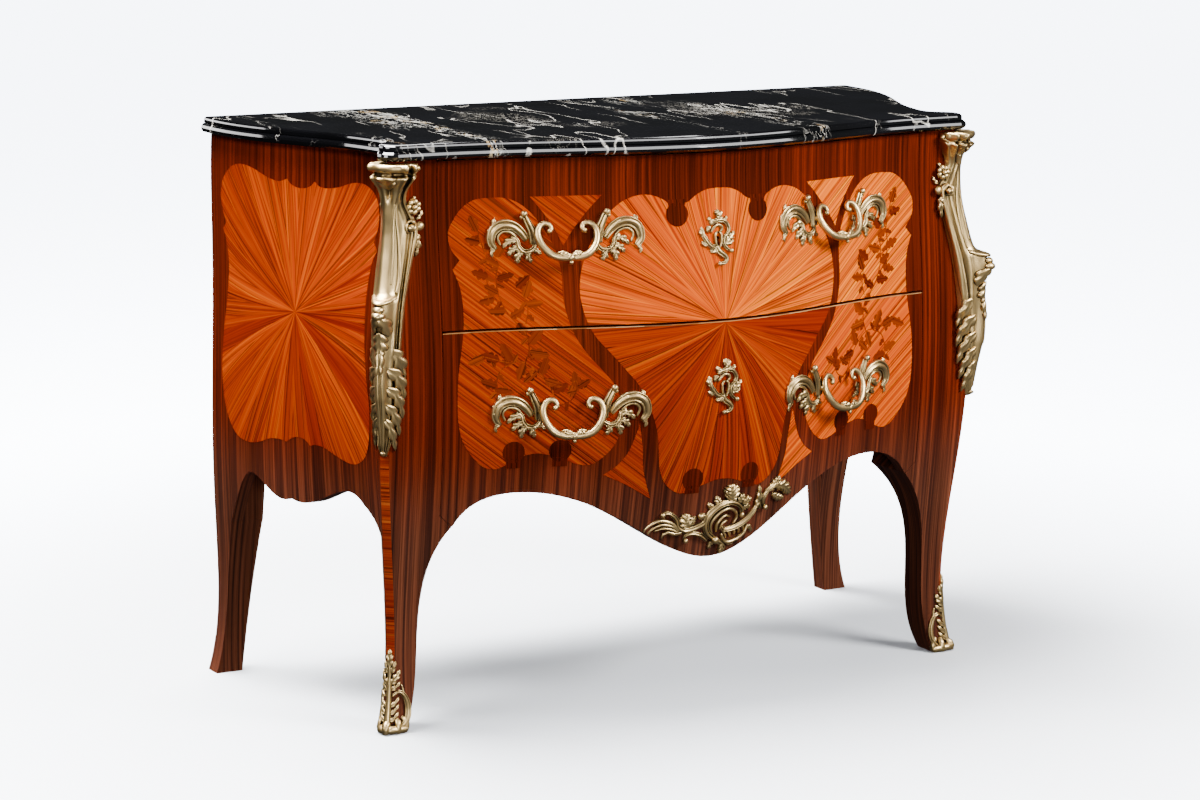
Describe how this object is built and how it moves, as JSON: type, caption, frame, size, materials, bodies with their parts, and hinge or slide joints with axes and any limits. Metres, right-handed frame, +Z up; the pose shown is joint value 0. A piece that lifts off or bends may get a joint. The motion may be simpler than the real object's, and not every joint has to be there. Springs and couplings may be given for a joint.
{
  "type": "commode chest",
  "caption": "Serpentine bow-fronted commode with swelling sides, moulded marble top, sliding drawers with locks, cabriole legs and cast bronze mounts.",
  "frame": {"origin": "on the floor at the middle of the overall box", "axes": "+Z up, -Y out of the drawer fronts, +X to the right seen from the front"},
  "size_m": [1.198, 0.5647, 0.87],
  "materials": {
    "marble": "polished",
    "rosewood_veneer": "french polished",
    "carcass_oak": "plain",
    "drawer_oak": "plain",
    "gilt_bronze": "satin patinated",
    "lock_brass": "satin"
  },
  "bodies": {
    "carcass": {"back_panel": "carcass_oak", "bottom_back_rail": "carcass_oak", "bottom_board": "carcass_oak", "bottom_front_rail": "carcass_oak", "drawer_guides": "carcass_oak", "dust_board": "carcass_oak", "left_bottom_runner": "carcass_oak", "left_chute": "gilt_bronze", "left_front_stile": "rosewood_veneer", "left_middle_runner": "carcass_oak", "left_rear_stile": "rosewood_veneer", "left_sabot": "gilt_bronze", "left_side_panel": "rosewood_veneer", "left_top_kicker": "carcass_oak", "marble_top": "marble", "middle_back_rail": "carcass_oak", "middle_front_rail": "carcass_oak", "right_bottom_runner": "carcass_oak", "right_chute": "gilt_bronze", "right_front_stile": "rosewood_veneer", "right_middle_runner": "carcass_oak", "right_rear_stile": "rosewood_veneer", "right_sabot": "gilt_bronze", "right_side_panel": "rosewood_veneer", "right_top_kicker": "carcass_oak", "top_back_rail": "carcass_oak", "top_front_rail": "carcass_oak"},
    "upper_drawer": {"upper_back": "drawer_oak", "upper_bottom": "drawer_oak", "upper_escutcheon": "gilt_bronze", "upper_front": "rosewood_veneer", "upper_handle_nuts": "lock_brass", "upper_left_handle": "gilt_bronze", "upper_left_side": "drawer_oak", "upper_lock_case": "lock_brass", "upper_lock_screws": "lock_brass", "upper_right_handle": "gilt_bronze", "upper_right_side": "drawer_oak"},
    "lower_drawer": {"apron_mount": "gilt_bronze", "lower_back": "drawer_oak", "lower_bottom": "drawer_oak", "lower_escutcheon": "gilt_bronze", "lower_front": "rosewood_veneer", "lower_handle_nuts": "lock_brass", "lower_left_handle": "gilt_bronze", "lower_left_side": "drawer_oak", "lower_lock_case": "lock_brass", "lower_lock_screws": "lock_brass", "lower_right_handle": "gilt_bronze", "lower_right_side": "drawer_oak"},
    "upper_bolt": {"upper_lock_bolt": "lock_brass"},
    "lower_bolt": {"lower_lock_bolt": "lock_brass"}
  },
  "joints": [
    {"name": "upper_drawer_slide", "type": "slide", "parent": "carcass", "child": "upper_drawer", "axis": [0, -1, 0], "range_m": [0, 0.3]},
    {"name": "lower_drawer_slide", "type": "slide", "parent": "carcass", "child": "lower_drawer", "axis": [0, -1, 0], "range_m": [0, 0.3]},
    {"name": "upper_lock_throw", "type": "slide", "parent": "upper_drawer", "child": "upper_bolt", "axis": [0, 0.1091, 0.994], "range_m": [0, 0.009]},
    {"name": "lower_lock_throw", "type": "slide", "parent": "lower_drawer", "child": "lower_bolt", "axis": [0, 0.067, 0.9978], "range_m": [0, 0.009]}
  ]
}
